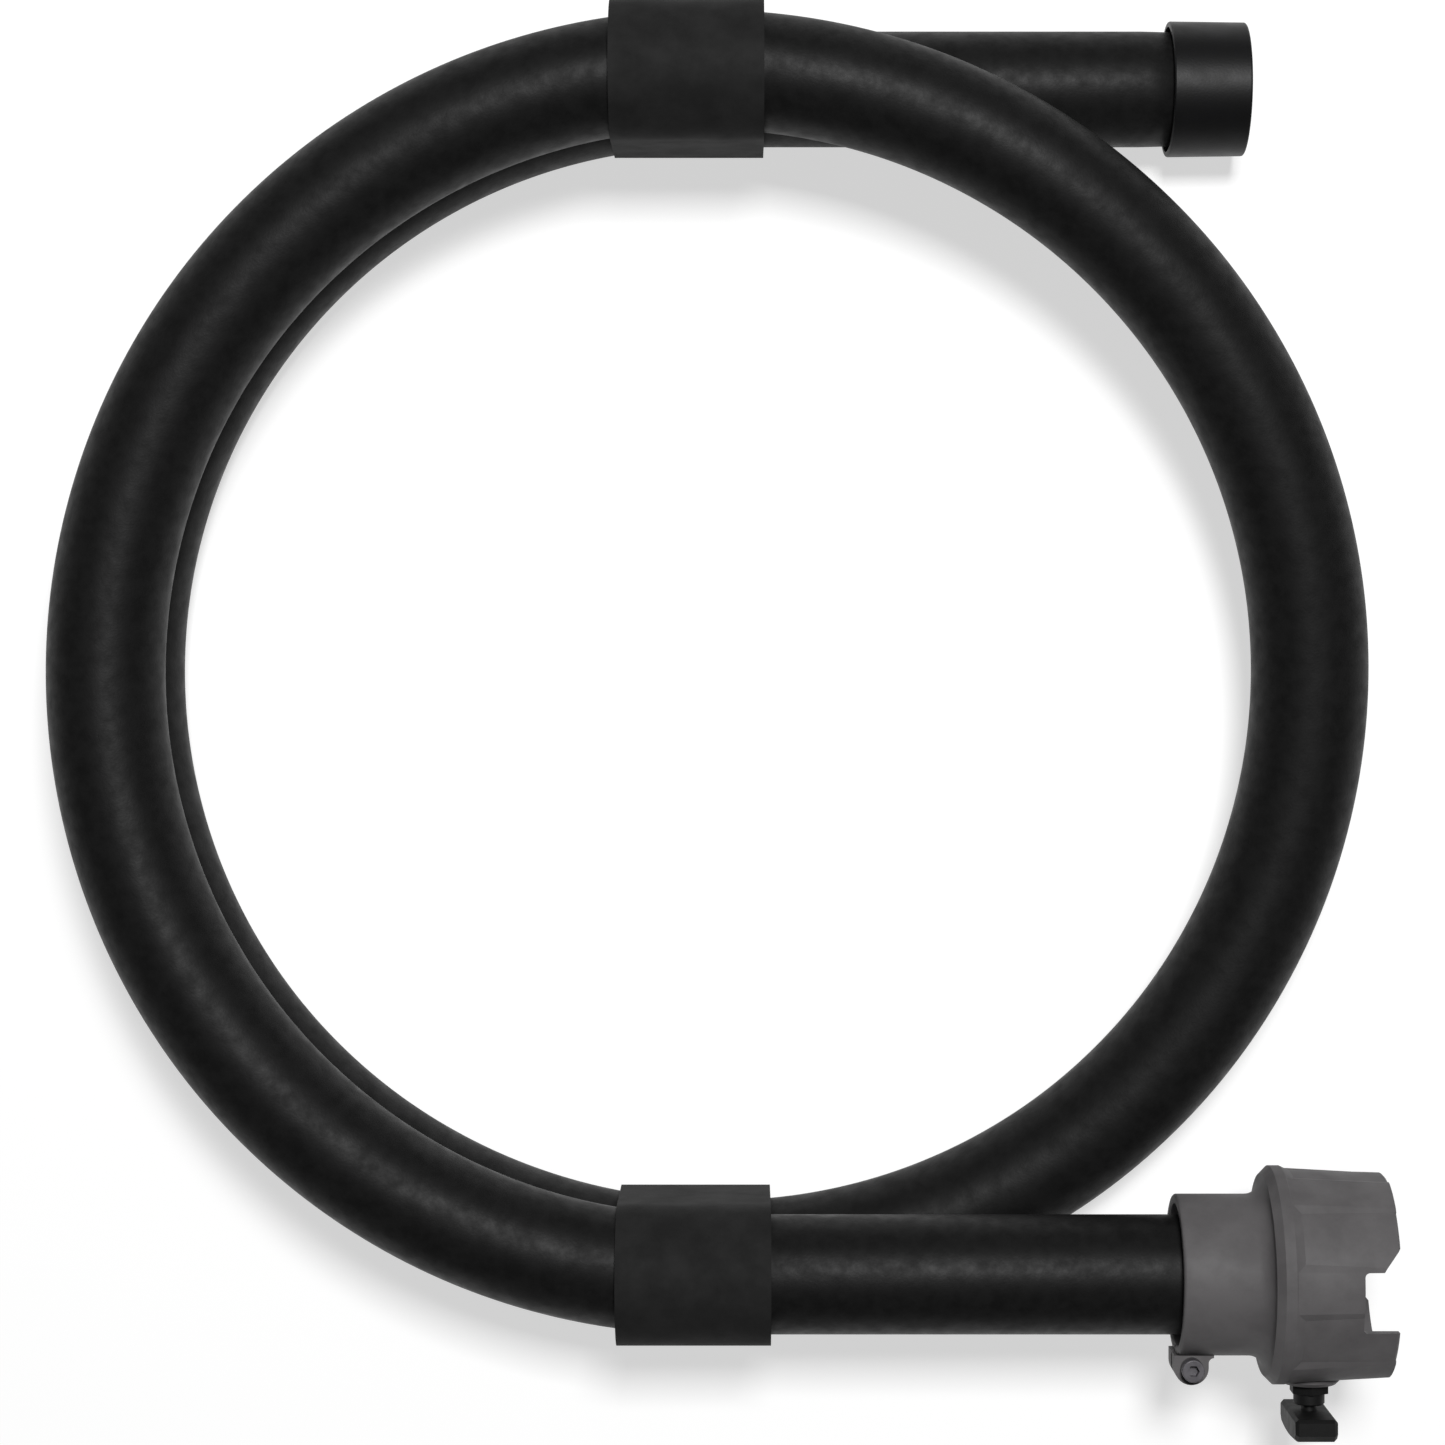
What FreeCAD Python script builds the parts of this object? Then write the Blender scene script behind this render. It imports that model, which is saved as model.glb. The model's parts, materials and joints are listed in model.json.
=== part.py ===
import FreeCAD, Part
import math
import os
import re

import Sketcher
from FreeCAD import Placement, Rotation, Vector

# Pool vacuum hose, wound flat into one and a half turns and strapped at two places.
# +Z is up and the coil lies flat. The upper end runs out along +X into a bayonet coupler,
# and the lower end runs out along +X into a swivel cuff. Millimetres.

doc = FreeCAD.newDocument("vacuum_hose")
sheet = doc.addObject("Spreadsheet::Sheet", "Dim")

# ---------------------------------------------------------------- driving dimensions

DRIVING = {
    # hose
    "hose_bore": 38.0,
    "hose_wall": 3.5,
    "coil_radius": 229.0,
    "turn_points": 24,
    "arc_share": 0.45,
    "layer_gap": 0.3,
    "floor_gap": 0.1,
    # where the lower turn stands out of round: the angle of its top, and how far it spreads
    "bulge": 5.6,
    "bulge_angle": -40.0,
    "bulge_before": 130.0,
    "bulge_after": 80.0,
    # straps
    "top_strap_x": -7.2,
    "bottom_strap_x": -4.6,
    "strap_width": 58.5,
    "strap_thick": 1.0,
    "strap_play": 0.1,
    "tab_height": 26.0,
    "tab_thick": 1.2,
    "patch_thick": 0.8,
    "patch_inset": 3.0,
    "patch_play": 0.2,
    # coupler moulding
    "rim_x": 178.2,
    "collar_wall": 3.5,
    "collar_length": 33.2,
    "collar_fillet": 6.0,
    "rim_round": 1.2,
    "bell_wall": 7.0,
    "bell_length": 46.1,
    "bell_bevel": 3.0,
    "shoulder_length": 7.0,
    "mouth_step": 7.2,
    "mouth_wall": 4.7,
    "grip_depth": 1.7,
    "grip_depth_mouth": 0.4,
    "grip_ramp": 3.5,
    "land_angle": 22.0,
    "land_slope_angle": 5.5,
    "land_slope_tip": 2.5,
    "web_thick": 4.0,
    "web_inset": 1.0,
    "seal_thick": 3.0,
    "seal_step": 1.0,
    "mouth_round": 0.8,
    # bayonet slots
    "slot_depth": 13.8,
    "slot_above": 7.4,
    "slot_below": 15.6,
    "slot_lead": 6.5,
    "slot_rise": 8.3,
    "slot_round": 1.8,
    # pinch clamp
    "ear_x": 5.3,
    "ear_drop": 3.6,
    "ear_radius": 6.5,
    "ear_half": 9.0,
    "ear_root_round": 2.0,
    "slit_width": 3.0,
    "slit_length": 26.0,
    "clamp_thread": 5.0,
    "clamp_length": 20.0,
    "clamp_head": 8.5,
    "clamp_head_tall": 5.0,
    "clamp_key": 4.0,
    "clamp_key_depth": 3.2,
    "clamp_hole_fit": 0.3,
    "thread_fit": 0.05,
    "nut_across": 8.0,
    "nut_thick": 4.0,
    "nut_fit": 0.1,
    "washer_od": 8.4,
    "washer_thick": 1.0,
    "face_gap": 0.05,
    # thumb screw
    "thumb_x": 51.1,
    "thumb_thread": 6.0,
    "boss_od": 23.0,
    "boss_bevel": 1.3,
    "bushing_wall": 1.8,
    "bushing_fit": 0.1,
    "bushing_step": 1.9,
    "bushing_flange": 3.7,
    "bushing_neck_step": 1.1,
    "bushing_neck": 4.4,
    "bushing_recess": 0.6,
    "pad_length": 2.2,
    "pad_fit": 0.15,
    "pad_recess": 0.4,
    "wing_gap": 2.3,
    "wing_length": 38.0,
    "wing_width": 16.0,
    "wing_tall": 8.6,
    "wing_crown": 1.4,
    "wing_corner": 2.5,
    "wing_bevel": 1.2,
    "stud_in_wing": 6.5,
    # pieces inside the collar
    "bush_inset": 4.0,
    "bush_fit": 0.1,
    "bush_wall": 4.1,
    "tail_wall": 2.5,
    "tail_length": 45.0,
    "tail_flange": 2.9,
    "tail_flange_play": 0.8,
    "barb_depth": 0.9,
    "tail_fit": 0.1,
    "oring_thick": 1.8,
    "oring_inset": 6.4,
    # cuff
    "cuff_x": 180.9,
    "cuff_length": 30.2,
    "cuff_wall": 2.1,
    "cuff_taper": 0.4,
    "cuff_round": 0.8,
    "lip_gap": 1.8,
    "cuff_lip_length": 8.0,
    "cuff_shoulder": 3.0,
    "cavity_gap": 1.5,
    "swivel_gap": 0.3,
    "spigot_play": 0.1,
    "ferrule_length": 25.0,
    "ferrule_flange": 3.0,
    "cuff_seal_thick": 2.2,
    "liner_bevel": 0.5,
}

# Sizes and places that follow from the ones above.
WORKED_OUT = {
    "hose_od": "hose_bore + 2 * hose_wall",
    "hose_r": "hose_od / 2",
    "bend_r": "2 * arc_share * coil_radius",
    "half_run": "coil_radius * tan(180 deg / turn_points)",
    "bend_x": "-(1 - 2 * arc_share) * half_run",
    "left_end": "top_strap_x - strap_width / 2",
    "bent_length": "bend_x - left_end",
    "bend_inside": "bend_r - hose_r",
    "strap_sag": "bend_inside - sqrt(bend_inside ^ 2 - bent_length ^ 2)",
    "strap_inner_r": "hose_r + strap_sag + strap_play",
    "strap_outer_r": "strap_inner_r + strap_thick",
    "tab_reach": "strap_outer_r + 2 * patch_thick + tab_thick",
    "cuff_lip_bore": "hose_od + 2 * lip_gap",
    "cuff_bore": "hose_od + 2 * cavity_gap",
    "cuff_od": "cuff_lip_bore + 2 * cuff_wall",
    "cuff_od_mouth": "cuff_od - 2 * cuff_taper",
    "spigot_bore": "hose_bore + spigot_play",
    "low_z": "max(strap_outer_r; cuff_od / 2)",
    "pitch": "hose_od + layer_gap",
    "high_z": "low_z + pitch",
    "dip": "low_z - hose_r - floor_gap",
    "collar_bore": "hose_od + 2 * bush_wall + 4 * bush_fit",
    "collar_od": "collar_bore + 2 * collar_wall",
    "mouth_bore": "collar_bore + 2 * mouth_step",
    "bell_od": "mouth_bore + 2 * bell_wall",
    "land_od_mouth": "mouth_bore + 2 * mouth_wall",
    "tail_bore": "hose_bore - 2 * tail_wall",
    "tail_flange_od": "collar_bore - 2 * tail_flange_play",
    "web_bore": "tail_bore + 1",
    "oring_od": "tail_bore + 2 * oring_inset",
    "ear_reach": "collar_od / 2 + ear_drop",
    "ear_start": "ear_x - ear_radius",
    "ear_end": "ear_x + ear_radius",
    "ear_root": "collar_od / 2 + ear_root_round - 0.2",
    "bell_back": "collar_length",
    "mouth_end": "collar_length + bell_length",
    "web_face": "bell_back + web_inset",
    "seat_face": "web_face + web_thick",
    "seal_face": "seat_face + seal_thick",
    "bell_r": "bell_od / 2",
    "bushing_od": "thumb_thread + 2 * bushing_wall",
    "bushing_across": "bushing_od + 2 * bushing_step",
    "bushing_neck_od": "bushing_od + 2 * bushing_neck_step",
    "bushing_top": "bell_r + bushing_flange + bushing_neck",
    "wing_base": "bushing_top + wing_gap",
    "wing_outer": "wing_base + wing_tall + wing_crown",
    "flange_start": "web_face - tail_flange",
    "cuff_mouth": "cuff_x + cuff_length",
    "cuff_cavity": "cuff_lip_length + cuff_shoulder",
    "ferrule_face": "cuff_cavity + swivel_gap",
    "liner_start": "ferrule_face + ferrule_flange + cuff_seal_thick + 2 * swivel_gap",
    "right_end": "rim_x + mouth_end",
    "back_end": "coil_radius + tab_reach",
    "front_end": "coil_radius + max(wing_outer; tab_reach)",
    "coil_x": "-(left_end + right_end) / 2",
    "coil_y": "(front_end - back_end) / 2",
}

WORDS = re.compile(r"\b[a-z]+(?:_[a-z]+)*\b")


def fill_sheet():
    rows = list(DRIVING.items()) + [(name, "=" + text) for name, text in WORKED_OUT.items()]
    for row, (name, content) in enumerate(rows, start=1):
        sheet.set(f"A{row}", name)
        sheet.set(f"B{row}", str(content))
        sheet.setAlias(f"B{row}", name)
    doc.recompute()


def bound(text):
    """The formula with each size's name pointed at the sheet."""
    return WORDS.sub(
        lambda word: "Dim." + word[0] if word[0] in DRIVING or word[0] in WORKED_OUT else word[0],
        str(text),
    )


def size(text):
    """The formula's value now."""
    result = sheet.evalExpression(bound(text))
    return float(getattr(result, "Value", result))


def tie(item, **formulas):
    """Bind properties of item to formulas, such as Radius='hose_od / 2'."""
    for name, text in formulas.items():
        item.setExpression(name, bound(text))


def place(item, x="0", y="0", z="0", axis=None, angle=0.0):
    """Bind item's place, and turn it by angle about axis."""
    if axis is not None:
        item.Placement = Placement(Vector(), Rotation(axis, angle))
    for name, text in zip("xyz", (x, y, z)):
        item.setExpression(f"Placement.Base.{name}", bound(text))


X_AXIS = Vector(1, 0, 0)
Y_AXIS = Vector(0, 1, 0)
Z_AXIS = Vector(0, 0, 1)

fill_sheet()

# ---------------------------------------------------------------- sketch and body helpers


def new_body(name):
    body = doc.addObject("PartDesign::Body", name)
    body.Label = name
    return body


def origin_item(body, role):
    return next(item for item in body.Origin.OriginFeatures if item.Role == role)


def arc_centre(start, end, radius, side):
    """Centre of the arc from start to end, to the left of the chord for side 1, right for -1."""
    chord = end - start
    rise = math.sqrt(max(radius**2 - (chord.Length / 2) ** 2, 0.0))
    left = Vector(-chord.y, chord.x, 0).normalize()
    return (start + end) / 2 + left * rise * side


def outline(body, name, plane, *loops, offset="0"):
    """A sketch of closed loops on one of the body's own planes. Each corner is (x, y) in
    formulas, or (x, y, radius, side) where an arc leads to it from the corner before."""
    sketch = body.newObject("Sketcher::SketchObject", name)
    sketch.AttachmentSupport = [(origin_item(body, plane), "")]
    sketch.MapMode = "FlatFace"
    sketch.setExpression("AttachmentOffset.Base.z", bound(offset))
    for corners in loops:
        draw_loop(sketch, corners)
    return sketch


def is_clockwise(corner):
    return len(corner) > 2 and corner[3] < 0


def draw_loop(sketch, corners):
    """Draw one closed loop, and tie each corner's place and each arc's radius."""
    first = sketch.GeometryCount
    count = len(corners)
    points = [Vector(size(corner[0]), size(corner[1]), 0) for corner in corners]
    for index, corner in enumerate(corners):
        start = points[index - 1]
        end = points[index]
        if len(corner) == 2:
            sketch.addGeometry(Part.LineSegment(start, end))
            continue
        radius = size(corner[2])
        centre = arc_centre(start, end, radius, corner[3])
        angles = [math.atan2(point.y - centre.y, point.x - centre.x) for point in (start, end)]
        if is_clockwise(corner):
            angles.reverse()
        sketch.addGeometry(Part.ArcOfCircle(Part.Circle(centre, Z_AXIS, radius), *angles))
    for index, corner in enumerate(corners):
        edge = first + index
        following = (index + 1) % count
        end_point = 1 if is_clockwise(corner) else 2
        next_start = 2 if is_clockwise(corners[following]) else 1
        rule = Sketcher.Constraint("Coincident", edge, end_point, first + following, next_start)
        sketch.addConstraint(rule)
        for kind, axis in (("DistanceX", 0), ("DistanceY", 1)):
            rule = Sketcher.Constraint(kind, -1, 1, edge, end_point, points[index][axis])
            tie_rule(sketch, rule, corner[axis])
        if len(corner) > 2:
            tie_rule(sketch, Sketcher.Constraint("Radius", edge, size(corner[2])), corner[2])


def tie_rule(sketch, rule, text):
    number = sketch.addConstraint(rule)
    sketch.setExpression(f"Constraints[{number}]", bound(text))


def revolve(body, name, corners, plane="XY_Plane"):
    """Turn an outline about the body's X axis: x runs along the axis, y is the radius."""
    sketch = outline(body, name + "_outline", plane, corners)
    solid = body.newObject("PartDesign::Revolution", name)
    solid.Profile = sketch
    solid.ReferenceAxis = (sketch, ["H_Axis"])
    solid.Angle = 360.0
    return solid


def pad(body, name, corners, plane, length):
    """Thicken an outline by length, half on each side of its plane."""
    solid = body.newObject("PartDesign::Pad", name)
    solid.Profile = outline(body, name + "_outline", plane, corners)
    solid.SideType = "Symmetric"
    tie(solid, Length=length)
    return solid


def pocket(body, name, corners, plane, length):
    """Cut an outline right through, to length, half on each side of its plane."""
    doc.recompute()
    before = body.Shape.Volume
    cut = body.newObject("PartDesign::Pocket", name)
    cut.Profile = outline(body, name + "_outline", plane, corners)
    cut.SideType = "Symmetric"
    tie(cut, Length=length)
    check_change(body, name, before)
    return cut


def body_primitive(body, kind, name, where, **formulas):
    """Add or cut a primitive in the body. where is place()'s keywords."""
    doc.recompute()
    before = body.Shape.Volume if body.Shape.Solids else 0.0
    item = body.newObject("PartDesign::" + kind, name)
    if "Prism" in kind:
        item.Polygon = 6
    place(item, **where)
    tie(item, **formulas)
    check_change(body, name, before)
    return item


def check_change(body, name, before):
    doc.recompute()
    if abs(body.Shape.Volume - before) < 0.01:
        raise RuntimeError(f"{name} changes nothing")


def edges_where(body, test):
    """Names of the tip's edges whose middle point passes test."""
    doc.recompute()
    names = []
    for number, edge in enumerate(body.Tip.Shape.Edges, start=1):
        middle = edge.valueAt((edge.FirstParameter + edge.LastParameter) / 2)
        if test(middle, edge):
            names.append(f"Edge{number}")
    if not names:
        raise RuntimeError("no edge found to round")
    return names


def round_edges(body, name, radius, test, kind="Fillet"):
    tip = body.Tip
    names = edges_where(body, test)
    rounding = body.newObject("PartDesign::" + kind, name)
    rounding.Base = (tip, names)
    tie(rounding, **{"Radius" if kind == "Fillet" else "Size": radius})
    return rounding


# ---------------------------------------------------------------- where the ends lie

COUPLER = {"x": "coil_x + rim_x", "y": "coil_y - coil_radius", "z": "high_z"}
CUFF = {"x": "coil_x + cuff_x", "y": "coil_y + coil_radius", "z": "low_z"}

# ---------------------------------------------------------------- hose

TURN_POINTS = int(size("turn_points"))
STEP = 360.0 / TURN_POINTS
COIL_START = 270.0 - STEP / 2
COIL_POINTS = TURN_POINTS * 3 // 2
DROP_HALF = 75.0
DIP_HALF = 75.0


def smooth(share):
    share = min(max(share, 0.0), 1.0)
    return share * share * (3 - 2 * share)


def hose_height(angle):
    """Height of the hose's axis. angle runs down from 270 at the coupler's strap to -270 at the
    cuff's strap. The upper turn lies on the lower one, which dips to the floor between straps."""
    drop = smooth((DROP_HALF - angle) / (2 * DROP_HALF))
    height = size("high_z") - drop * size("pitch")
    for middle in (180.0, -180.0):
        near = 1.0 - abs(angle - middle) / DIP_HALF
        height -= smooth(near) * size("dip")
    return height


def hose_bulge(angle):
    """How far the hose stands out of the round coil, on its way down from the upper turn."""
    past = angle - size("bulge_angle")
    spread = size("bulge_before") if past > 0 else size("bulge_after")
    return size("bulge") * smooth(1.0 - abs(past) / spread)


def hose_route():
    """Points of the hose's axis, from inside the coupler to inside the cuff."""
    centre_x = size("coil_x")
    centre_y = size("coil_y")
    coupler_end = centre_x + size("rim_x + flange_start")
    cuff_end = centre_x + size("cuff_x + ferrule_face")
    route = [Vector(coupler_end, centre_y - size("coil_radius"), size("high_z"))]
    for index in range(COIL_POINTS):
        angle = COIL_START - index * STEP
        turn = math.radians(angle)
        radius = (size("coil_radius") + hose_bulge(angle)) / math.cos(math.radians(STEP / 2))
        x = centre_x + radius * math.cos(turn)
        y = centre_y + radius * math.sin(turn)
        route.append(Vector(x, y, hose_height(angle)))
    route.append(Vector(cuff_end, centre_y + size("coil_radius"), size("low_z")))
    return route


def rounded_path(points):
    """Straight runs joined by tangent arcs. Each arc starts at a share of the shorter run."""
    share = size("arc_share")
    edges = []
    radii = []
    last = points[0]
    for before, corner, after in zip(points, points[1:], points[2:]):
        back = before - corner
        ahead = after - corner
        reach = share * min(back.Length, ahead.Length)
        start = corner + back.normalize() * reach
        end = corner + ahead.normalize() * reach
        half_turn = (math.pi - back.getAngle(ahead)) / 2
        radius = reach / math.tan(half_turn)
        inward = (back + ahead).normalize()
        middle = corner + inward * (radius / math.cos(half_turn) - radius)
        edges.append(Part.LineSegment(last, start).toShape())
        edges.append(Part.Arc(start, middle, end).toShape())
        radii.append(radius)
        last = end
    edges.append(Part.LineSegment(last, points[-1]).toShape())
    return Part.Wire(edges), radii


def swept_tube(path, start, heading, radius):
    ring = Part.Wire([Part.Circle(start, heading, radius).toShape()])
    return path.makePipeShell([ring], True, False)


def make_hose():
    route = hose_route()
    path, radii = rounded_path(route)
    heading = route[1] - route[0]
    outer = swept_tube(path, route[0], heading, size("hose_r"))
    inner = swept_tube(path, route[0], heading, size("hose_bore / 2"))
    hose = doc.addObject("Part::Feature", "hose")
    hose.Label = "hose"
    hose.Shape = outer.cut(inner)
    hose.Placement = Placement()
    section = math.pi * size("hose_r ^ 2 - (hose_bore / 2) ^ 2")
    share = hose.Shape.Volume / (section * path.Length)
    print(f"hose length {path.Length:.1f} mm, volume / (section x length) {share:.4f}")
    print(f"hose radii {min(radii):.0f} to {max(radii):.0f} mm")
    print("heights", [round(point.z, 1) for point in route])
    return hose


# ---------------------------------------------------------------- straps


def stadium(radius):
    """Loop round both layers: a half circle under the lower one and over the upper one."""
    return [
        (radius, "low_z", radius, 1),
        (radius, "high_z"),
        ("0", f"high_z + {radius}", radius, 1),
        (f"-({radius})", "high_z", radius, 1),
        (f"-({radius})", "low_z"),
        ("0", f"low_z - ({radius})", radius, 1),
    ]


def flank_loop(start, end, bottom, top):
    """Upright rectangle on the strap's outer flank, start and end being distances out."""
    return [(start, bottom), (end, bottom), (end, top), (start, top)]


def cross_bar(body, name, inset, *loops):
    """Carry a section straight along X over the strap's width, less an inset at each end."""
    bar = body.newObject("PartDesign::Pad", name)
    bar.Profile = outline(body, name + "_section", "YZ_Plane", *loops)
    bar.SideType = "Symmetric"
    tie(bar, Length=f"strap_width - 2 * {inset}")


def make_strap(name, outward):
    """A band round both layers, with a tab that closes on hook-and-loop patches. outward is 1
    where the coil's outside faces +Y, and -1 where it faces -Y. The hose leaves its straight
    run inside the band, so the band is wider than the hose by that sag."""
    where = {"x": f"coil_x + {name}_x", "y": f"coil_y + {outward} * coil_radius", "z": "0"}
    if outward < 0:
        where.update(axis=Z_AXIS, angle=180)
    strap = new_body(name)
    place(strap, **where)
    cross_bar(strap, name + "_band", "0", stadium("strap_outer_r"), stadium("strap_inner_r"))
    root_start = "strap_outer_r - strap_thick / 2"
    root = flank_loop(root_start, "tab_reach", "low_z", "low_z + patch_inset")
    cross_bar(strap, name + "_tab_root", "0", root)
    tab = flank_loop("tab_reach - tab_thick", "tab_reach", "low_z", "low_z + tab_height")
    cross_bar(strap, name + "_tab", "0", tab)
    pieces = [strap]
    patch_low = "low_z + patch_inset + patch_play"
    patch_high = "low_z + tab_height - patch_inset"
    hook_start = "strap_outer_r + patch_thick"
    for patch, start in (("loop", "strap_outer_r"), ("hook", hook_start)):
        body = new_body(f"{name}_{patch}")
        place(body, **where)
        loop = flank_loop(start, f"{start} + patch_thick", patch_low, patch_high)
        cross_bar(body, f"{name}_{patch}_sheet", "patch_inset", loop)
        pieces.append(body)
    return pieces


# ---------------------------------------------------------------- coupler


def make_coupler_body():
    """Grey moulding: pinch collar, web, and a bell with grip recesses and bayonet slots."""
    body = new_body("coupler_body")
    place(body, **COUPLER)
    collar_r = "collar_od / 2"
    fillet_end = f"{collar_r} + collar_fillet"
    revolve(
        body,
        "shell",
        [
            ("0", "collar_bore / 2 + rim_round / 2"),
            ("0", f"{collar_r} - rim_round"),
            ("rim_round", collar_r, "rim_round", -1),
            ("bell_back - collar_fillet", collar_r),
            ("bell_back", fillet_end, "collar_fillet", 1),
            ("bell_back", "bell_r - bell_bevel"),
            ("bell_back + bell_bevel", "bell_r"),
            ("bell_back + shoulder_length", "bell_r"),
            ("bell_back + shoulder_length + grip_ramp", "bell_r - grip_depth"),
            ("mouth_end - mouth_round", "land_od_mouth / 2 - grip_depth_mouth"),
            ("mouth_end", "land_od_mouth / 2 - grip_depth_mouth - mouth_round"),
            ("mouth_end", "mouth_bore / 2"),
            ("seal_face", "mouth_bore / 2"),
            ("seal_face", "mouth_bore / 2 - seal_step"),
            ("seat_face", "mouth_bore / 2 - seal_step"),
            ("seat_face", "web_bore / 2"),
            ("web_face", "web_bore / 2"),
            ("web_face", "collar_bore / 2"),
            ("rim_round / 2", "collar_bore / 2"),
        ],
    )
    make_lands(body)
    make_ear(body)
    make_boss(body)
    cut_slots(body)
    return body


def cut_slots(body):
    """Two bayonet slots in the mouth, half a turn apart. Each widens to a slanted lead-in."""
    start = "mouth_end - slot_depth"
    end = "mouth_end + 2"
    lead_top = "slot_above + slot_rise * (slot_lead + 2) / slot_lead"
    corners = [
        (start, "-slot_below"),
        (end, "-slot_below"),
        (end, lead_top),
        ("mouth_end - slot_lead", "slot_above"),
        (start, "slot_above"),
    ]
    for name, side in (("upper_slot", 1), ("lower_slot", -1)):
        doc.recompute()
        before = body.Shape.Volume
        cut = body.newObject("PartDesign::Pocket", name)
        loop = [(x, f"{side} * ({y})") for x, y in corners]
        cut.Profile = outline(body, name + "_outline", "XY_Plane", loop)
        cut.Reversed = side > 0
        tie(cut, Length="bell_r + 5")
        check_change(body, name, before)
    inner_x = size(start)
    levels = (size("slot_below"), size("slot_above"))
    round_edges(
        body,
        "slot_corners",
        "slot_round",
        lambda middle, edge: abs(middle.x - inner_x) < 0.01
        and min(abs(abs(middle.y) - level) for level in levels) < 0.01,
    )


def make_lands(body):
    """Raised lands between the grip recesses. Each stands on the bell and fades to the mouth."""
    sections = []
    start = "bell_back + bell_bevel + 1"
    tip_top = "land_od_mouth / 2"
    for name, offset, top, floor, slope in (
        ("land_root", start, "bell_r", "bell_r - grip_depth", "land_slope_angle"),
        ("land_tip", "mouth_end", tip_top, f"{tip_top} - grip_depth_mouth", "land_slope_tip"),
    ):
        half = "land_angle / 2"
        wide = f"(land_angle / 2 + {slope})"
        deep = f"({floor} - 1.5)"
        corners = [
            (f"-({deep}) * sin({wide} * 1 deg)", f"({deep}) * cos({wide} * 1 deg)"),
            (f"({deep}) * sin({wide} * 1 deg)", f"({deep}) * cos({wide} * 1 deg)"),
            (f"({floor}) * sin({wide} * 1 deg)", f"({floor}) * cos({wide} * 1 deg)"),
            (f"({top}) * sin({half} * 1 deg)", f"({top}) * cos({half} * 1 deg)"),
            (f"-({top}) * sin({half} * 1 deg)", f"({top}) * cos({half} * 1 deg)", top, 1),
            (f"-({floor}) * sin({wide} * 1 deg)", f"({floor}) * cos({wide} * 1 deg)"),
        ]
        sections.append(outline(body, name, "YZ_Plane", corners, offset=offset))
    land = body.newObject("PartDesign::AdditiveLoft", "land")
    land.Profile = sections[0]
    land.Sections = [sections[1]]
    pattern = body.newObject("PartDesign::PolarPattern", "lands")
    pattern.Originals = [land]
    pattern.Axis = (origin_item(body, "X_Axis"), [""])
    pattern.Angle = 360.0
    pattern.Occurrences = 6
    body.Tip = pattern
    doc.recompute()


def make_ear(body):
    """Pinch ear under the collar, slit along its middle, with its screw hole and nut pocket."""
    pad(
        body,
        "ear",
        [
            ("ear_start", "-ear_reach"),
            ("ear_end", "-ear_reach", "ear_radius + 0.001", 1),
            ("ear_end", "-ear_root"),
            ("ear_end + ear_root_round", "-ear_root + ear_root_round", "ear_root_round", -1),
            ("ear_end + ear_root_round", "-ear_root + ear_root_round + 1"),
            ("ear_start", "-ear_root + ear_root_round + 1"),
        ],
        "XY_Plane",
        "2 * ear_half",
    )
    pocket(
        body,
        "slit",
        [
            ("ear_start - 1", "-ear_reach - ear_radius - 1"),
            ("slit_length", "-ear_reach - ear_radius - 1"),
            ("slit_length", "-collar_bore / 4"),
            ("ear_start - 1", "-collar_bore / 4"),
        ],
        "XY_Plane",
        "slit_width",
    )
    body_primitive(
        body,
        "SubtractiveCylinder",
        "clamp_hole",
        {"x": "ear_x", "y": "-ear_reach", "z": "-ear_half - 1"},
        Radius="clamp_thread / 2 + clamp_hole_fit",
        Height="2 * ear_half + 2",
    )
    body_primitive(
        body,
        "SubtractivePrism",
        "nut_pocket",
        {"x": "ear_x", "y": "-ear_reach", "z": "-ear_half - 1"},
        Circumradius="(nut_across / 2 + nut_fit) / cos(30 deg)",
        Height="nut_thick + 1",
    )


def make_boss(body):
    """Round boss that the thumb screw's bushing seats on, and the bushing's hole."""
    root = "bell_r - 5"
    body_primitive(
        body,
        "AdditiveCylinder",
        "boss",
        {"x": "thumb_x", "y": f"-({root})", "z": "0", "axis": X_AXIS, "angle": 90},
        Radius="boss_od / 2",
        Height=f"bell_r - boss_bevel - ({root})",
    )
    body_primitive(
        body,
        "AdditiveCone",
        "boss_rim",
        {"x": "thumb_x", "y": "-(bell_r - boss_bevel)", "z": "0", "axis": X_AXIS, "angle": 90},
        Radius1="boss_od / 2",
        Radius2="boss_od / 2 - boss_bevel",
        Height="boss_bevel",
    )
    body_primitive(
        body,
        "SubtractiveCylinder",
        "bushing_hole",
        {"x": "thumb_x", "y": "-mouth_bore / 2 + 5", "z": "0", "axis": X_AXIS, "angle": 90},
        Radius="bushing_od / 2 + bushing_fit",
        Height="bell_r - mouth_bore / 2 + 6",
    )


def ring(name, where, corners):
    """A turned piece in a node of its own, x along the hose's axis and y the radius."""
    body = new_body(name)
    place(body, **where)
    revolve(body, name + "_turned", corners)
    return body


def make_hose_tail():
    """Barbed insert in the hose's bore, with a flange against the coupler's web."""
    outer = "(hose_bore / 2 - tail_fit)"
    root = "(hose_bore / 2 - tail_fit - barb_depth)"
    start = "(flange_start - tail_length)"
    bore = "tail_bore / 2"
    corners = [(start, bore), (start, root)]
    barbs = 5
    for number in range(barbs):
        crest = f"{start} + tail_length * {number + 1} / {barbs + 1}"
        corners.append((crest, outer))
        corners.append((crest, root))
    groove = "(oring_thick + 0.4)"
    groove_low = f"oring_od / 2 - {groove}"
    groove_floor = "web_face - oring_thick"
    flange = "tail_flange_od / 2"
    corners += [
        ("flange_start", root),
        ("flange_start", flange),
        ("web_face", flange),
        ("web_face", "oring_od / 2 + 0.2"),
        (groove_floor, "oring_od / 2 + 0.2"),
        (groove_floor, groove_low),
        ("web_face", groove_low),
        ("web_face", bore),
    ]
    return ring("hose_tail", COUPLER, corners)


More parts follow.
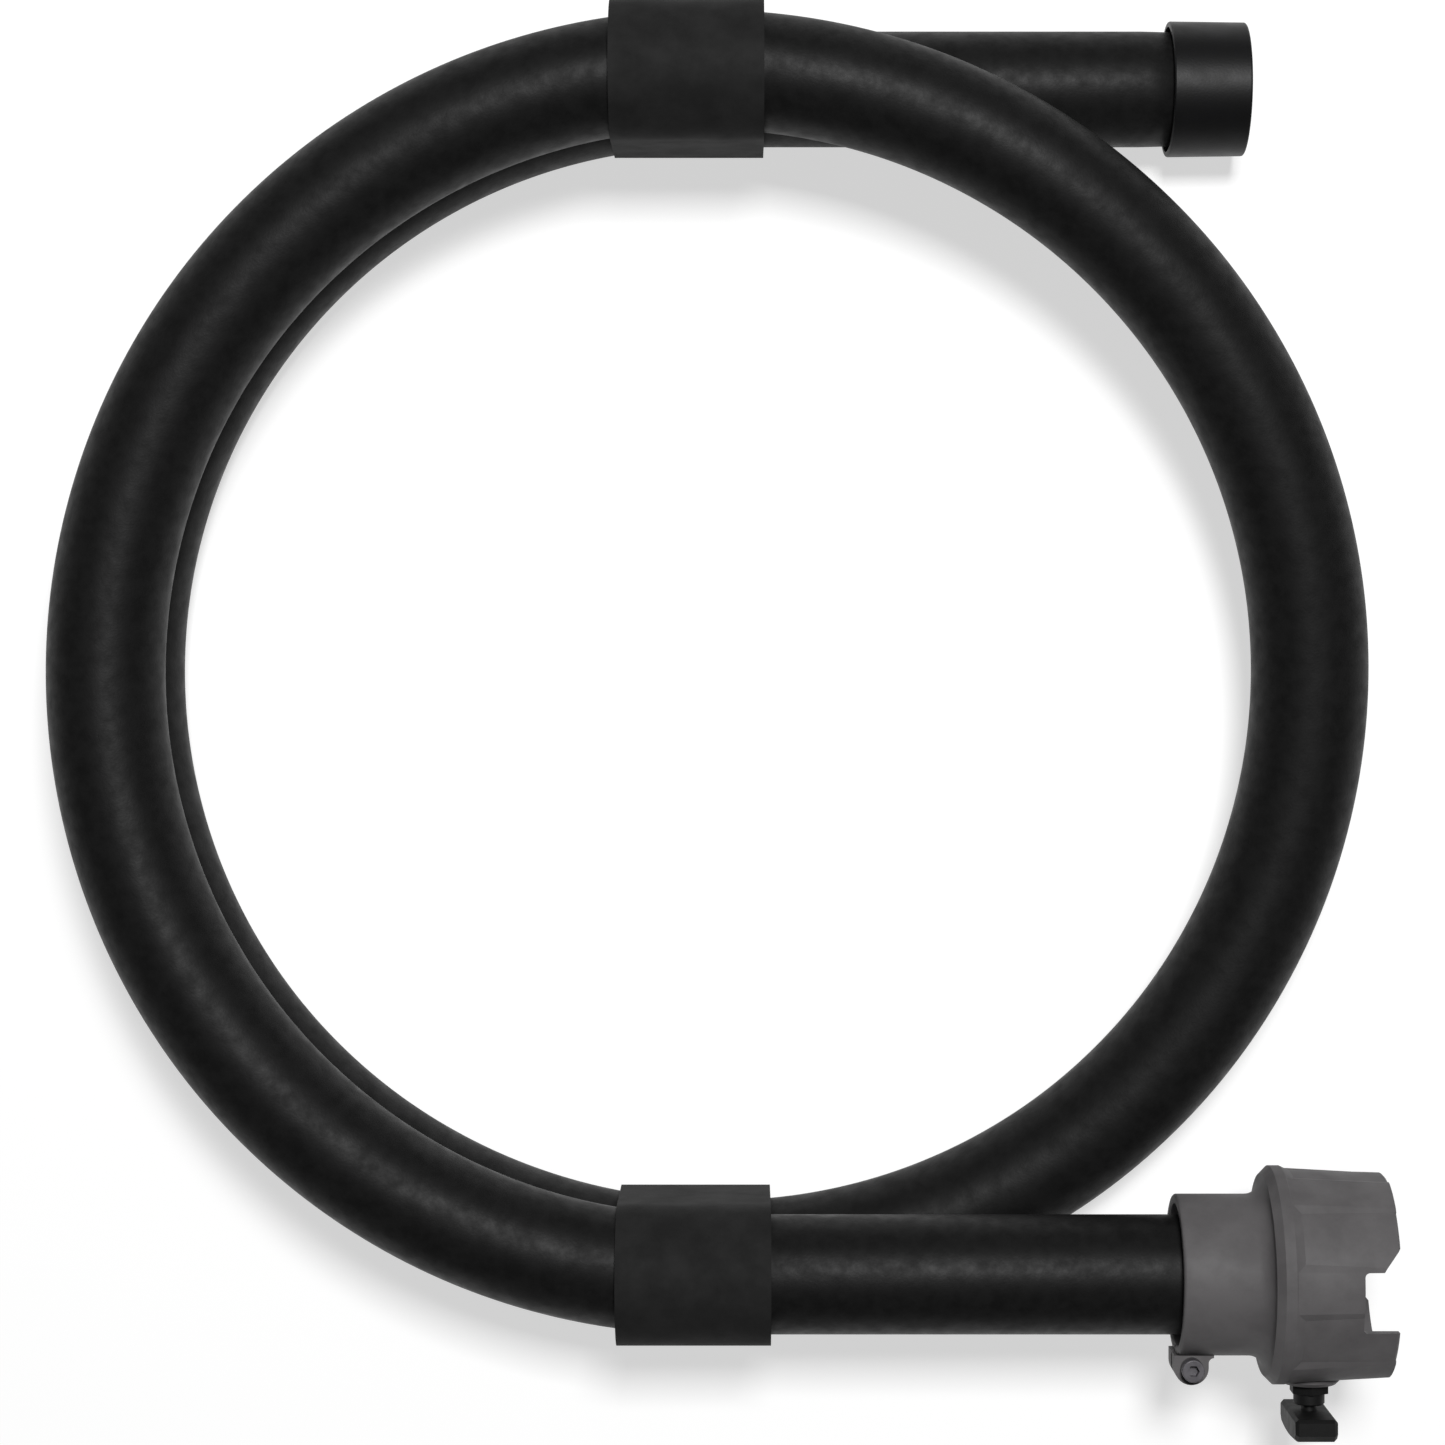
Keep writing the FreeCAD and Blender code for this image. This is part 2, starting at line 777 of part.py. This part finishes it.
def torus(name, where, along, big, small):
    item = doc.addObject("Part::Torus", name)
    item.Label = name
    tie(item, Radius1=big, Radius2=small)
    place(item, f"{where['x']} + {along}", where["y"], where["z"], Y_AXIS, 90)
    return item


def plain_ring(name, where, start, end, inner, outer):
    return ring(name, where, [(start, inner), (end, inner), (end, outer), (start, outer)])


def make_coupler_insides():
    bush = plain_ring(
        "clamp_bush",
        COUPLER,
        "bush_inset",
        "flange_start",
        "hose_r + bush_fit",
        "collar_bore / 2 - bush_fit",
    )
    seal = plain_ring(
        "mouth_seal",
        COUPLER,
        "seat_face",
        "seal_face",
        "web_bore / 2 + 4",
        "mouth_bore / 2 - seal_step",
    )
    oring = torus(
        "tail_seal",
        COUPLER,
        "web_face - oring_thick / 2",
        "oring_od / 2 - oring_thick / 2",
        "oring_thick / 2",
    )
    return [bush, seal, oring, make_hose_tail()]


def on_ear(z):
    return {
        "x": "coil_x + rim_x + ear_x",
        "y": "coil_y - coil_radius - ear_reach",
        "z": f"high_z + {z}",
    }


def hex_nut(name, across, thick, bore, where):
    body = new_body(name)
    place(body, **where)
    origin = {"x": "0", "y": "0", "z": "0"}
    body_primitive(
        body, "AdditivePrism", name + "_hex", origin, Circumradius=f"{across} / 2 / cos(30 deg)", Height=thick
    )
    below = {"x": "0", "y": "0", "z": "-1"}
    body_primitive(
        body, "SubtractiveCylinder", name + "_bore", below, Radius=bore, Height=f"{thick} + 2"
    )
    return body


def make_clamp_fasteners():
    """Socket-head screw from above, its washer, and the nut held in the ear's pocket."""
    washer_z = "ear_half + face_gap"
    head_z = f"{washer_z} + washer_thick"
    screw = new_body("clamp_screw")
    place(screw, **on_ear(head_z))
    body_primitive(
        screw,
        "AdditiveCylinder",
        "clamp_shank",
        {"x": "0", "y": "0", "z": "-clamp_length"},
        Radius="clamp_thread / 2",
        Height="clamp_length",
    )
    body_primitive(
        screw,
        "AdditiveCylinder",
        "clamp_head_round",
        {"x": "0", "y": "0", "z": "0"},
        Radius="clamp_head / 2",
        Height="clamp_head_tall",
    )
    body_primitive(
        screw,
        "SubtractivePrism",
        "clamp_socket",
        {"x": "0", "y": "0", "z": "clamp_head_tall - clamp_key_depth"},
        Circumradius="clamp_key / 2 / cos(30 deg)",
        Height="clamp_key_depth + 1",
    )
    top = size("clamp_head_tall")
    reach = size("clamp_head / 2")
    round_edges(
        screw,
        "clamp_head_edge",
        "0.4",
        lambda middle, edge: abs(middle.z - top) < 0.01 and math.hypot(middle.x, middle.y) > reach - 0.1,
    )
    washer = new_body("clamp_washer")
    place(washer, **on_ear(washer_z))
    flat = {"x": "0", "y": "0", "z": "0"}
    body_primitive(
        washer, "AdditiveCylinder", "washer_disc", flat, Radius="washer_od / 2", Height="washer_thick"
    )
    below = {"x": "0", "y": "0", "z": "-1"}
    body_primitive(
        washer,
        "SubtractiveCylinder",
        "washer_hole",
        below,
        Radius="clamp_thread / 2 + clamp_hole_fit",
        Height="washer_thick + 2",
    )
    nut = hex_nut(
        "clamp_nut", "nut_across", "nut_thick", "clamp_thread / 2 + thread_fit", on_ear("(-ear_half)")
    )
    return [screw, washer, nut]


def on_thumb(reach):
    """The thumb screw's line, at reach from the coupler's axis. Local +X points outward, -Y."""
    return {
        "x": "coil_x + rim_x + thumb_x",
        "y": f"coil_y - coil_radius - ({reach})",
        "z": "high_z",
        "axis": Z_AXIS,
        "angle": -90,
    }


def make_thumb_screw():
    """Flanged bushing in the bell, threaded stud, wing handle, and the nylon pad at its tip."""
    bore = "thumb_thread / 2 + thread_fit"
    seat = "bell_r"
    bushing = ring(
        "screw_bushing",
        on_thumb("0"),
        [
            ("mouth_bore / 2 + bushing_recess", bore),
            ("mouth_bore / 2 + bushing_recess", "bushing_od / 2"),
            (seat, "bushing_od / 2"),
            (seat, "bushing_neck_od / 2"),
            ("bushing_top - 0.5", "bushing_neck_od / 2"),
            ("bushing_top", "bushing_neck_od / 2 - 0.5"),
            ("bushing_top", bore),
        ],
    )
    along = {"x": seat, "y": "0", "z": "0", "axis": Y_AXIS, "angle": 90}
    corner_r = "bushing_across / 2 / cos(30 deg)"
    body_primitive(
        bushing, "AdditivePrism", "bushing_hex", along, Circumradius=corner_r, Height="bushing_flange"
    )
    body_primitive(
        bushing, "SubtractiveCylinder", "bushing_bore", along, Radius=bore, Height="bushing_top - bell_r + 1"
    )
    pad_start = "mouth_bore / 2 + pad_recess"
    pad_r = "thumb_thread / 2 - pad_fit"
    pad_end = f"{pad_start} + pad_length"
    tip = ring(
        "thumb_pad",
        on_thumb("0"),
        [
            (pad_start, "0"),
            (pad_start, f"{pad_r} - 0.5"),
            (f"{pad_start} + 0.5", pad_r),
            (pad_end, pad_r),
            (pad_end, "0"),
        ],
    )
    stud_start = f"{pad_end} + face_gap"
    stud_end = "wing_base + stud_in_wing"
    stud = ring(
        "thumb_stud",
        on_thumb("0"),
        [
            (stud_start, "0"),
            (stud_start, "thumb_thread / 2 - 0.6"),
            (f"{stud_start} + 0.6", "thumb_thread / 2"),
            (stud_end, "thumb_thread / 2"),
            (stud_end, "0"),
        ],
    )
    return [bushing, tip, stud, make_wing()]


def make_wing():
    """Wing handle, a short bar across the screw with a crowned outer edge."""
    wing = new_body("thumb_wing")
    place(wing, **on_thumb("wing_base"))
    half = "wing_length / 2"
    crown_half = f"({half} - wing_corner)"
    crown_r = f"({crown_half} ^ 2 + wing_crown ^ 2) / (2 * wing_crown)"
    pad(
        wing,
        "wing_bar",
        [
            ("0", f"-({half} - wing_bevel)"),
            ("wing_bevel", f"-({half})"),
            ("wing_tall - wing_corner", f"-({half})"),
            ("wing_tall", f"-{crown_half}"),
            ("wing_tall", crown_half, crown_r, 1),
            ("wing_tall - wing_corner", half),
            ("wing_bevel", half),
            ("0", f"{half} - wing_bevel"),
        ],
        "XZ_Plane",
        "wing_width",
    )
    side = size("wing_width / 2")
    round_edges(
        wing, "wing_edges", "wing_bevel", lambda middle, edge: abs(abs(middle.y) - side) < 0.01, "Chamfer"
    )
    body_primitive(
        wing,
        "SubtractiveCylinder",
        "stud_hole",
        {"x": "-1", "y": "0", "z": "0", "axis": Y_AXIS, "angle": 90},
        Radius="thumb_thread / 2",
        Height="stud_in_wing + 1",
    )
    return wing


# ---------------------------------------------------------------- cuff


def make_cuff():
    """Swivel cuff: outer cuff and liner turn together on the ferrule in the hose's end."""
    taper_r = "(cuff_od / 2 - cuff_round * (cuff_od - cuff_od_mouth) / 2 / cuff_length)"
    cuff = ring(
        "end_cuff",
        CUFF,
        [
            ("0", "cuff_lip_bore / 2"),
            ("0", f"{taper_r} - cuff_round"),
            ("cuff_round", taper_r, "cuff_round", -1),
            ("cuff_length - cuff_round", "cuff_od_mouth / 2"),
            ("cuff_length", "cuff_od_mouth / 2 - cuff_round", "cuff_round", -1),
            ("cuff_length", "cuff_bore / 2"),
            ("cuff_cavity", "cuff_bore / 2"),
            ("cuff_cavity", "hose_r + swivel_gap"),
            ("cuff_lip_length", "hose_r + swivel_gap"),
            ("cuff_lip_length", "cuff_lip_bore / 2"),
        ],
    )
    tail_r = "hose_bore / 2 - tail_fit"
    flange_end = "ferrule_face + ferrule_flange"
    ferrule = ring(
        "cuff_ferrule",
        CUFF,
        [
            ("ferrule_face - ferrule_length", "tail_bore / 2"),
            ("ferrule_face - ferrule_length", f"{tail_r} - 1"),
            ("ferrule_face - ferrule_length + 4", tail_r),
            ("ferrule_face", tail_r),
            ("ferrule_face", "cuff_bore / 2 - swivel_gap"),
            (flange_end, "cuff_bore / 2 - swivel_gap"),
            (flange_end, "tail_bore / 2"),
        ],
    )
    liner = ring(
        "cuff_liner",
        CUFF,
        [
            ("liner_start", "spigot_bore / 2"),
            ("cuff_length - liner_bevel", "spigot_bore / 2"),
            ("cuff_length", "spigot_bore / 2 + liner_bevel"),
            ("cuff_length", "cuff_bore / 2"),
            ("liner_start", "cuff_bore / 2"),
        ],
    )
    seal = torus(
        "cuff_seal",
        CUFF,
        f"{flange_end} + cuff_seal_thick / 2 + swivel_gap / 3",
        "(cuff_bore + spigot_bore) / 4",
        "cuff_seal_thick / 2",
    )
    return [cuff, ferrule, liner, seal]


# ---------------------------------------------------------------- build, check, export


def check_state():
    doc.recompute()
    for item in doc.Objects:
        for word in ("Invalid", "Error"):
            if word in item.State:
                raise RuntimeError(f"{item.Name} is {item.State}")


def export(pieces):
    os.makedirs("parts", exist_ok=True)
    for piece in pieces:
        shape = piece.Shape
        if shape.isNull() or not shape.isValid() or not shape.Solids:
            raise RuntimeError(f"{piece.Label} has no valid solid")
    for piece in pieces:
        piece.Shape.exportStep(f"parts/{piece.Label}.step")
    print(len(pieces), "pieces")


nodes = [make_hose()]
nodes += make_strap("top_strap", 1)
nodes += make_strap("bottom_strap", -1)
nodes += [make_coupler_body()]
nodes += make_coupler_insides()
nodes += make_clamp_fasteners()
nodes += make_thumb_screw()
nodes += make_cuff()
check_state()
export(nodes)
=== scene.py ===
import json
import math

import bmesh
import bpy
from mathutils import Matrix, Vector


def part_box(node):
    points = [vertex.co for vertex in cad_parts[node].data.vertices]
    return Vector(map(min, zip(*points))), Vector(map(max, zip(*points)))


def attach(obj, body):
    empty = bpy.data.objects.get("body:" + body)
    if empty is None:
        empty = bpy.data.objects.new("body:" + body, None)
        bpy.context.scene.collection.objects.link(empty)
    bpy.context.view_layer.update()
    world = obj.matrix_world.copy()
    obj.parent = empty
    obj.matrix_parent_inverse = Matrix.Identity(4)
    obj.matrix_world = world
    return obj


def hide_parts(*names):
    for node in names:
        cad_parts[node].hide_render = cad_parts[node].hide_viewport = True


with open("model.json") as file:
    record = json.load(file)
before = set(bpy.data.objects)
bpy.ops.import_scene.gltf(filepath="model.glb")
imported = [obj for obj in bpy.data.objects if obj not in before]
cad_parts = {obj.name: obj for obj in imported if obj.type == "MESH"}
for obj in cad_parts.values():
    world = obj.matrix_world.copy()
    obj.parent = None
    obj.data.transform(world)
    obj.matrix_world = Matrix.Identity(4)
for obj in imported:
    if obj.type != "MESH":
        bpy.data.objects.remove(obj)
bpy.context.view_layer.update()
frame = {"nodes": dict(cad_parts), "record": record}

# ---------------------------------------------------------------- sizes, in metres and degrees

MM = 0.001
ROOT = "hose_assembly"

# The hose, and the round coil that its middle line follows.
HOSE_RADIUS = 22.5 * MM
HOSE_BORE_RADIUS = 19.0 * MM
COIL_RADIUS = 229.0 * MM
TURN_POINTS = 24
STEP = 360.0 / TURN_POINTS
COIL_START = 270.0 - STEP / 2
COIL_POINTS = TURN_POINTS * 3 // 2

# Where the coil stands out of round, by how much, and over what angle on each side.
BULGE = 5.6 * MM
BULGE_ANGLE = -40.0
BULGE_BEFORE = 130.0
BULGE_AFTER = 80.0

# Half the angle over which the hose comes down a layer on the right, and dips on the left.
DROP_HALF = 75.0
DIP_HALF = 75.0

# The tube's sides, its steps from one control point to the next, and how far its ends draw in.
TUBE_SIDES = 96
SPLINE_STEPS = 14
END_TAPER = 0.6 * MM

FLOOR_GAP = 0.1 * MM
FERRULE_FLANGE = 3.0 * MM


def middle(node):
    """The middle of a CAD piece's box."""
    low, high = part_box(node)
    return (low + high) / 2


COIL_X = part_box("hose")[0].x + COIL_RADIUS + HOSE_RADIUS
CUFF_MIDDLE = middle("end_cuff")
LOW_Z = CUFF_MIDDLE.z
HIGH_Z = middle("coupler_body").z
CENTRE = Vector((COIL_X, (CUFF_MIDDLE.y + middle("mouth_seal").y) / 2, 0))
FLOOR_DIP = LOW_Z - HOSE_RADIUS - FLOOR_GAP
COUPLER_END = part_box("clamp_bush")[1].x
CUFF_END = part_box("cuff_ferrule")[1].x - FERRULE_FLANGE

# The white table, the lamp over it and the camera, whose rise is from the upper turn.
FLOOR_SIZE = 12.0
FLOOR_GLOW = 0.62
FILL_STRENGTH = 0.05
KEY_PLACE = (0.1, 0.75, 2.5)
KEY_AIM = (-0.05, 0.03, 0)
KEY_SIZE = 0.5
KEY_WATTS = 62
CAMERA_RISE = 1293 * MM
CAMERA_OFFSET_X = 14 * MM
CAMERA_OFFSET_Y = 8 * MM
CAMERA_LENS = 84.7
CAMERA_SHIFT_X = -0.01405
CAMERA_SHIFT_Y = -0.04948
WHITE = (1, 1, 1, 1)

# ---------------------------------------------------------------- small helpers


def add_to_scene(item):
    bpy.context.scene.collection.objects.link(item)
    return item


def linear(hex_colour):
    """sRGB hex such as '5f5d5e' as a linear colour."""
    channels = [int(hex_colour[i : i + 2], 16) / 255 for i in (0, 2, 4)]
    return tuple(
        c / 12.92 if c <= 0.04045 else ((c + 0.055) / 1.055) ** 2.4 for c in channels
    ) + (1.0,)


def add_node(tree, kind, settings=None, **links):
    """A shader node. settings are its inputs or own properties, and links feed its inputs."""
    node = tree.nodes.new(kind)
    for name, value in (settings or {}).items():
        if name in node.inputs:
            node.inputs[name].default_value = value
        else:
            setattr(node, name, value)
    for name, socket in links.items():
        tree.links.new(socket, node.inputs[name.replace("_", " ")])
    return node


def set_stops(ramp, *colours):
    """Set a colour ramp's stops, each (place, colour)."""
    elements = ramp.color_ramp.elements
    while len(elements) < len(colours):
        elements.new(0.5)
    for element, (place, colour) in zip(elements, colours):
        element.position = place
        element.color = colour


# ---------------------------------------------------------------- materials


def grained(
    name, dark, light, *, roughness, spread, cloud_mm, grain_mm, depth_mm, gleam=0.3, metallic=0.0
):
    """Soft clouds of colour and gloss, and a fine raised grain.
    Roughness varies by spread either way. cloud_mm and grain_mm are the patterns' scales, and
    depth_mm is the grain's height. gleam is the specular level, 0.5 on ordinary clean plastic."""
    material = bpy.data.materials.new(name)
    material.use_nodes = True
    tree = material.node_tree
    tree.nodes.clear()
    place = add_node(tree, "ShaderNodeTexCoord").outputs["Object"]
    clouds = add_node(
        tree,
        "ShaderNodeTexNoise",
        {"Scale": 1 / (cloud_mm * MM), "Detail": 5.0, "Roughness": 0.6},
        Vector=place,
    )
    # The noise mostly lies between 0.3 and 0.7, so the colours and the gloss change inside that.
    colour = add_node(tree, "ShaderNodeValToRGB", Fac=clouds.outputs["Fac"])
    set_stops(colour, (0.36, linear(dark)), (0.62, linear(light)))
    gloss = add_node(
        tree,
        "ShaderNodeMapRange",
        {
            "From Min": 0.3,
            "From Max": 0.7,
            "To Min": roughness + spread,
            "To Max": roughness - spread,
        },
        Value=clouds.outputs["Fac"],
    )
    grain = add_node(
        tree,
        "ShaderNodeTexNoise",
        {"Scale": 1 / (grain_mm * MM), "Detail": 3.0, "Roughness": 0.55},
        Vector=place,
    )
    bump = add_node(
        tree,
        "ShaderNodeBump",
        {"Strength": 1.0, "Distance": depth_mm * MM},
        Height=grain.outputs["Fac"],
    )
    surface = add_node(
        tree,
        "ShaderNodeBsdfPrincipled",
        {"Specular IOR Level": gleam, "Metallic": metallic},
        Base_Color=colour.outputs["Color"],
        Roughness=gloss.outputs["Result"],
        Normal=bump.outputs["Normal"],
    )
    add_node(tree, "ShaderNodeOutputMaterial", Surface=surface.outputs["BSDF"])
    return material


def extruded_rubber():
    """Black EPDM hose, extruded: matte, cloudy where dust and bloom sit, with a fine pebble."""
    return grained(
        "extruded_rubber",
        "101010",
        "191919",
        roughness=0.5,
        spread=0.07,
        cloud_mm=6.0,
        grain_mm=1.0,
        depth_mm=0.05,
        gleam=0.13,
    )


def calendered_rubber():
    """Strap rubber, calendered sheet: dead matte with a very fine even grain."""
    return grained(
        "calendered_rubber",
        "1d1d1d",
        "242424",
        roughness=0.75,
        spread=0.04,
        cloud_mm=14.0,
        grain_mm=0.7,
        depth_mm=0.05,
        gleam=0.12,
    )


def moulded_rubber():
    """Cuff rubber, injection moulded in a lightly sparked tool: a soft satin."""
    return grained(
        "moulded_rubber",
        "0d0d0d",
        "131314",
        roughness=0.46,
        spread=0.05,
        cloud_mm=12.0,
        grain_mm=0.9,
        depth_mm=0.04,
        gleam=0.2,
    )


def moulded_grey():
    """Grey glass-filled nylon, injection moulded with a spark-eroded texture."""
    return grained(
        "moulded_grey_nylon",
        "565455",
        "5f5d5e",
        roughness=0.6,
        spread=0.05,
        cloud_mm=16.0,
        grain_mm=0.8,
        depth_mm=0.05,
        gleam=0.25,
    )


def moulded_black():
    """Black nylon, injection moulded, used for the knob, bushing and inserts."""
    return grained(
        "moulded_black_nylon",
        "0e0e0e",
        "151515",
        roughness=0.55,
        spread=0.06,
        cloud_mm=8.0,
        grain_mm=0.7,
        depth_mm=0.03,
        gleam=0.2,
    )


def moulded_nitrile():
    """Nitrile seals, compression moulded: smooth and slightly shiny."""
    return grained(
        "moulded_nitrile",
        "0b0b0b",
        "101010",
        roughness=0.4,
        spread=0.04,
        cloud_mm=6.0,
        grain_mm=0.6,
        depth_mm=0.01,
    )


def plain_stainless():
    """Stainless steel, cold headed and left plain."""
    return grained(
        "plain_stainless",
        "8d8d8c",
        "a2a2a0",
        roughness=0.34,
        spread=0.05,
        cloud_mm=3.0,
        grain_mm=0.4,
        depth_mm=0.005,
        metallic=1.0,
    )


def coated_steel():
    """Screw steel with a grey zinc-flake coating that matches the moulding."""
    return grained(
        "coated_steel",
        "58565a",
        "68666a",
        roughness=0.45,
        spread=0.05,
        cloud_mm=3.0,
        grain_mm=0.4,
        depth_mm=0.01,
        metallic=0.3,
    )


def black_oxide_steel():
    """Stud steel with a black oxide finish, faintly oily."""
    return grained(
        "black_oxide_steel",
        "0d0d0d",
        "151515",
        roughness=0.45,
        spread=0.05,
        cloud_mm=3.0,
        grain_mm=0.4,
        depth_mm=0.008,
    )


def natural_nylon():
    """Natural nylon, turned: milky and waxy."""
    return grained(
        "natural_nylon",
        "b9b6a6",
        "c6c3b4",
        roughness=0.45,
        spread=0.04,
        cloud_mm=4.0,
        grain_mm=0.5,
        depth_mm=0.01,
    )


def hook_and_loop_tape():
    """Woven hook-and-loop tape: a felt-like black pile."""
    return grained(
        "hook_and_loop_tape",
        "0c0c0c",
        "1a1a1a",
        roughness=0.9,
        spread=0.04,
        cloud_mm=1.2,
        grain_mm=0.5,
        depth_mm=0.2,
    )


FINISHES = {
    "hose_rubber": extruded_rubber(),
    "strap": calendered_rubber(),
    "patch": hook_and_loop_tape(),
    "grey_moulding": moulded_grey(),
    "black_moulding": moulded_black(),
    "cuff_moulding": moulded_rubber(),
    "seal_rubber": moulded_nitrile(),
    "steel": plain_stainless(),
    "painted_steel": coated_steel(),
    "black_steel": black_oxide_steel(),
    "nylon": natural_nylon(),
}
SLOTS = {item["node"]: item["material_slot"] for item in frame["record"]["subparts"]}


def finish_cad_nodes():
    """Each CAD piece takes the finish of its slot."""
    for name, item in frame["nodes"].items():
        item.data.materials.clear()
        item.data.materials.append(FINISHES[SLOTS[name]])


# ---------------------------------------------------------------- hose


def smooth(share):
    """A soft step from 0 to 1."""
    share = min(max(share, 0.0), 1.0)
    return share * share * (3 - 2 * share)


def hose_height(angle):
    """The hose comes down from the upper turn to the lower one on the right. On the left, between
    the straps, both turns dip, the upper one on the lower one and that one to the floor."""
    drop = smooth((DROP_HALF - angle) / (2 * DROP_HALF))
    height = HIGH_Z - drop * (HIGH_Z - LOW_Z)
    for left in (180.0, -180.0):
        near = 1.0 - abs(angle - left) / DIP_HALF
        height -= smooth(near) * FLOOR_DIP
    return height


def hose_bulge(angle):
    """How far the hose stands out of the round coil, on its way down from the upper turn."""
    past = angle - BULGE_ANGLE
    spread = BULGE_BEFORE if past > 0 else BULGE_AFTER
    return BULGE * smooth(1.0 - abs(past) / spread)


def hose_route():
    """Control points from inside the coupler, one and a half turns round, to inside the cuff."""
    half_step = math.radians(STEP / 2)
    beside = CENTRE.x + COIL_RADIUS * math.tan(half_step)
    route = [
        Vector((COUPLER_END, CENTRE.y - COIL_RADIUS, HIGH_Z)),
        Vector((beside, CENTRE.y - COIL_RADIUS, HIGH_Z)),
    ]
    for index in range(COIL_POINTS):
        angle = COIL_START - index * STEP
        turn = math.radians(angle)
        radius = (COIL_RADIUS + hose_bulge(angle)) / math.cos(half_step)
        x = CENTRE.x + radius * math.cos(turn)
        y = CENTRE.y + radius * math.sin(turn)
        route.append(Vector((x, y, hose_height(angle))))
    route.append(Vector((beside, CENTRE.y + COIL_RADIUS, LOW_Z)))
    route.append(Vector((CUFF_END, CENTRE.y + COIL_RADIUS, LOW_Z)))
    return route


def spline_points(route):
    """Points read from one smooth spline through the route's control points."""
    curve = bpy.data.curves.new("hose_line", "CURVE")
    curve.dimensions = "3D"
    curve.resolution_u = SPLINE_STEPS
    spline = curve.splines.new("NURBS")
    spline.points.add(len(route) - 1)
    for point, place in zip(spline.points, route):
        point.co = (*place, 1.0)
    spline.order_u = 3
    spline.use_endpoint_u = True
    line = bpy.data.objects.new("hose_line", curve)
    mesh = bpy.data.meshes.new_from_object(line)
    points = [vertex.co.copy() for vertex in mesh.vertices]
    bpy.data.objects.remove(line)
    bpy.data.meshes.remove(mesh)
    return points


def tube_frames(points):
    """Each point with two axes across the hose, carried along without twist."""
    frames = []
    across = Vector((0, 0, 1))
    for index, point in enumerate(points):
        ahead = points[min(index + 1, len(points) - 1)] - points[max(index - 1, 0)]
        ahead.normalize()
        across = (across - ahead * across.dot(ahead)).normalized()
        frames.append((point, across, ahead.cross(across)))
    return frames


def tube_mesh(points):
    """A hollow tube, open at both ends, whose outside draws in a little there."""
    frames = tube_frames(points)
    last = len(frames) - 1
    profile = [(index, HOSE_RADIUS) for index in range(len(frames))]
    profile[0] = (0, HOSE_RADIUS - END_TAPER)
    profile[-1] = (last, HOSE_RADIUS - END_TAPER)
    profile += [(index, HOSE_BORE_RADIUS) for index in reversed(range(len(frames)))]
    mesh = bmesh.new()
    rings = []
    for index, radius in profile:
        point, up, side = frames[index]
        ring = []
        for count in range(TUBE_SIDES):
            turn = 2 * math.pi * count / TUBE_SIDES
            out = up * math.cos(turn) + side * math.sin(turn)
            ring.append(mesh.verts.new(point + out * radius))
        rings.append(ring)
    for one, two in zip(rings, rings[1:] + rings[:1]):
        for count in range(TUBE_SIDES):
            following = (count + 1) % TUBE_SIDES
            mesh.faces.new((one[count], two[count], two[following], one[following]))
    bmesh.ops.recalc_face_normals(mesh, faces=mesh.faces)
    for face in mesh.faces:
        face.smooth = True
    data = bpy.data.meshes.new("hose_tube")
    mesh.to_mesh(data)
    mesh.free()
    return data


def make_hose():
    """The smooth hose that replaces the CAD one, with the cuff on its lower end."""
    points = spline_points(hose_route())
    hose = add_to_scene(bpy.data.objects.new("hose_tube", tube_mesh(points)))
    hose.data.materials.append(FINISHES["hose_rubber"])
    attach(hose, ROOT)
    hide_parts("hose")


# ---------------------------------------------------------------- floor, light and camera


def make_floor():
    """An opal light table, white and evenly lit from below."""
    bpy.ops.mesh.primitive_plane_add(size=FLOOR_SIZE, location=(0, 0, 0))
    floor = bpy.context.object
    floor.name = "floor"
    opal = bpy.data.materials.new("opal_light_table")
    opal.use_nodes = True
    shader = opal.node_tree.nodes["Principled BSDF"]
    shader.inputs["Base Color"].default_value = linear("b4b4b4")
    shader.inputs["Roughness"].default_value = 0.9
    shader.inputs["Emission Color"].default_value = WHITE
    shader.inputs["Emission Strength"].default_value = FLOOR_GLOW
    floor.data.materials.append(opal)


def make_lights():
    """One soft lamp, high beyond the cuff's side of the coil, and a faint even fill."""
    lamp = bpy.data.lights.new("key", "AREA")
    lamp.shape = "RECTANGLE"
    lamp.size = KEY_SIZE
    lamp.size_y = KEY_SIZE
    lamp.energy = KEY_WATTS
    key = add_to_scene(bpy.data.objects.new("key", lamp))
    key.location = KEY_PLACE
    aim = Vector(KEY_AIM) - Vector(KEY_PLACE)
    key.rotation_euler = aim.to_track_quat("-Z", "Y").to_euler()
    world = bpy.data.worlds.new("studio")
    world.use_nodes = True
    fill = world.node_tree.nodes["Background"]
    fill.inputs["Color"].default_value = WHITE
    fill.inputs["Strength"].default_value = FILL_STRENGTH
    bpy.context.scene.world = world
    bpy.context.scene.view_settings.view_transform = "Standard"


def make_camera():
    """Straight above, looking down, with the picture's top towards +Y."""
    data = bpy.data.cameras.new("camera")
    data.sensor_width = 36.0
    data.lens = CAMERA_LENS
    data.shift_x = CAMERA_SHIFT_X
    data.shift_y = CAMERA_SHIFT_Y
    data.clip_end = 50
    camera = add_to_scene(bpy.data.objects.new("camera", data))
    camera.location = (
        CENTRE.x + CAMERA_OFFSET_X,
        CENTRE.y + CAMERA_OFFSET_Y,
        HIGH_Z + CAMERA_RISE,
    )
    camera.rotation_euler = (0, 0, 0)
    bpy.context.scene.camera = camera


finish_cad_nodes()
make_hose()
make_floor()
make_lights()
make_camera()
